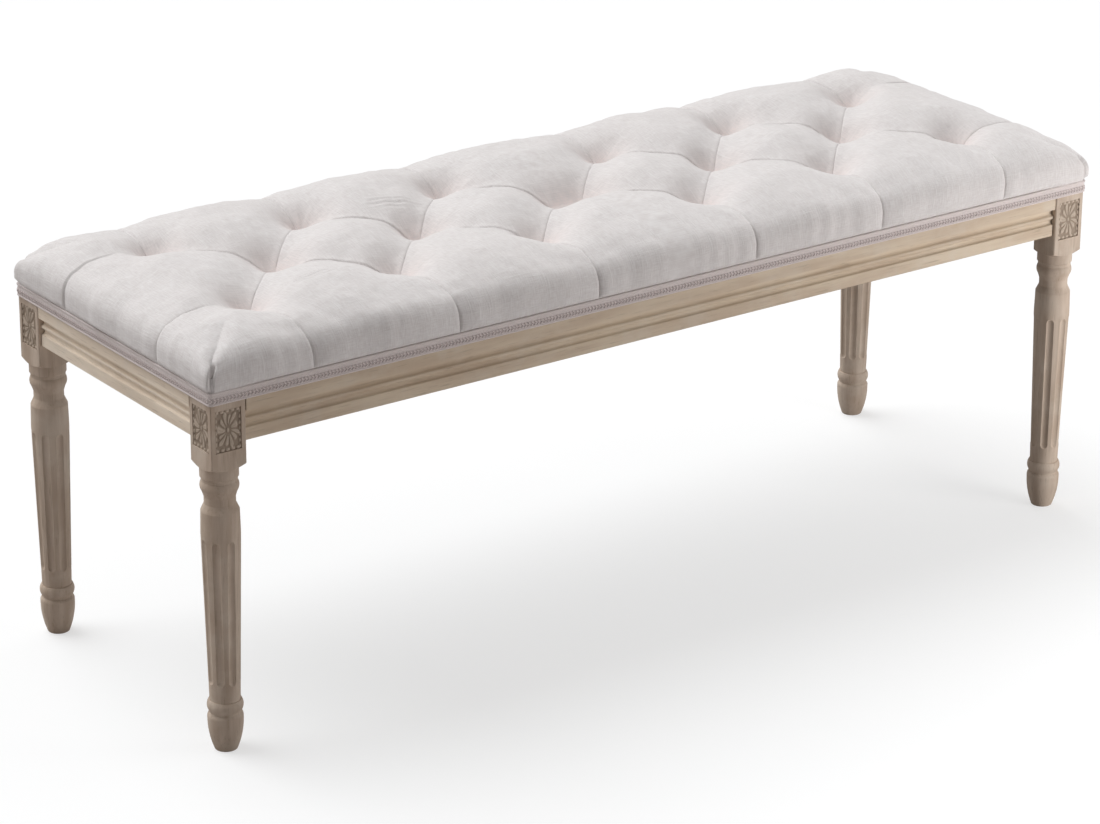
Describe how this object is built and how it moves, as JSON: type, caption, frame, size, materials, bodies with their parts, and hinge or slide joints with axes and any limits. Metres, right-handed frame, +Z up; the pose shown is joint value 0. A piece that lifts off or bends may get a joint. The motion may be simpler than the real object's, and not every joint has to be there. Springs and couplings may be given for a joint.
{
  "type": "upholstered bench",
  "caption": "Long tufted bench seat on four turned, fluted legs with moulded rails, square blocks with sunk panels and a woven trim.",
  "frame": {"origin": "on the floor, under the middle of the bench", "axes": "+Z up, X along the length of the bench, -Y towards the side the picture shows nearest"},
  "size_m": [1.2, 0.411, 0.475],
  "materials": {
    "washed_wood": "matt, limed and weathered",
    "plain_wood": "sawn and unfinished",
    "plywood": "sanded plywood",
    "zinc_steel": "zinc plated",
    "twine": "waxed twine",
    "foam": "polyurethane foam",
    "wadding": "polyester wadding",
    "linen": "slubby plain-weave linen",
    "trim": "woven tape with corded edges",
    "dust_cloth": "non-woven cloth"
  },
  "bodies": {
    "root": {"leg_front_left": "washed_wood", "leg_front_right": "washed_wood", "leg_back_right": "washed_wood", "leg_back_left": "washed_wood", "rail_front": "washed_wood", "rail_back": "washed_wood", "rail_left": "washed_wood", "rail_right": "washed_wood", "corner_brace_front_left": "plain_wood", "hanger_bolt_front_left": "zinc_steel", "bolt_washer_front_left": "zinc_steel", "bolt_nut_front_left": "zinc_steel", "corner_brace_front_right": "plain_wood", "hanger_bolt_front_right": "zinc_steel", "bolt_washer_front_right": "zinc_steel", "bolt_nut_front_right": "zinc_steel", "corner_brace_back_right": "plain_wood", "hanger_bolt_back_right": "zinc_steel", "bolt_washer_back_right": "zinc_steel", "bolt_nut_back_right": "zinc_steel", "corner_brace_back_left": "plain_wood", "hanger_bolt_back_left": "zinc_steel", "bolt_washer_back_left": "zinc_steel", "bolt_nut_back_left": "zinc_steel", "brace_screws": "zinc_steel", "seat_screws": "zinc_steel", "seat_board": "plywood", "tuft_washers": "zinc_steel", "tuft_twines": "twine", "foam_pad": "foam", "wadding": "wadding", "seat_cover": "linen", "gimp_trim": "trim", "dust_cover": "dust_cloth"}
  },
  "joints": []
}
